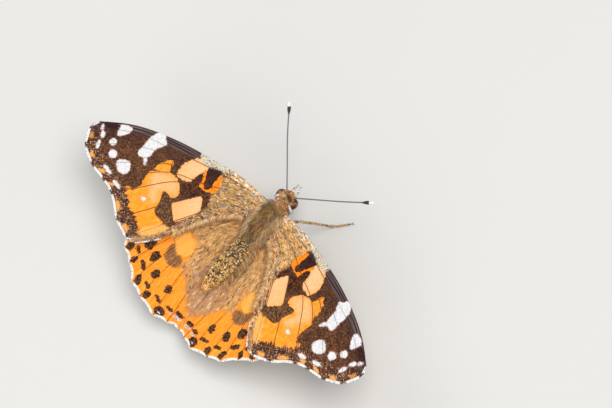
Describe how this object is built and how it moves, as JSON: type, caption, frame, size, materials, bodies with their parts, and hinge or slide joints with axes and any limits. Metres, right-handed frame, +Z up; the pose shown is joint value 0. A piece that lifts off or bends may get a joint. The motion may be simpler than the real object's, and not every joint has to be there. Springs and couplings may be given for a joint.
{
  "type": "painted lady butterfly",
  "caption": "Life-size still painted lady butterfly standing on four legs, wings spread nearly flat, antennae forward.",
  "frame": {"origin": "middle of the model's box at floor level, between and under the feet and wings", "axes": "+X to the butterfly's right, +Y to its front, +Z up"},
  "size_m": [0.0636, 0.0416, 0.015],
  "materials": {
    "head_fur": "short orange-brown and grey hair scales",
    "eye": "satin brown compound eye with a pale rim",
    "palp_fur": "silver-grey scales with a dark upper edge",
    "antenna": "dark rod ringed with fine pale scales, pale club tip",
    "proboscis": "dark brown horn",
    "thorax_fur": "long olive-brown hair scales",
    "abdomen_fur": "tan scales with dark bands",
    "forewing_scales": "orange and blackish-brown scales with white spots",
    "hindwing_scales": "orange scales with dark eyespots and margin marks",
    "foreleg_fur": "brush of tan hair",
    "leg_cuticle": "pale brown scaled leg"
  },
  "bodies": {
    "root": {"head": "head_fur", "eye_left": "eye", "eye_right": "eye", "palp_left": "palp_fur", "palp_right": "palp_fur", "antenna_left": "antenna", "antenna_right": "antenna", "proboscis": "proboscis", "thorax": "thorax_fur", "abdomen": "abdomen_fur", "forewing_left": "forewing_scales", "forewing_right": "forewing_scales", "hindwing_left": "hindwing_scales", "hindwing_right": "hindwing_scales", "foreleg_left": "foreleg_fur", "foreleg_right": "foreleg_fur", "midleg_femur_left": "leg_cuticle", "midleg_tibia_left": "leg_cuticle", "midleg_tarsus_left": "leg_cuticle", "midleg_femur_right": "leg_cuticle", "midleg_tibia_right": "leg_cuticle", "midleg_tarsus_right": "leg_cuticle", "hindleg_femur_left": "leg_cuticle", "hindleg_tibia_left": "leg_cuticle", "hindleg_tarsus_left": "leg_cuticle", "hindleg_femur_right": "leg_cuticle", "hindleg_tibia_right": "leg_cuticle", "hindleg_tarsus_right": "leg_cuticle"}
  },
  "joints": []
}
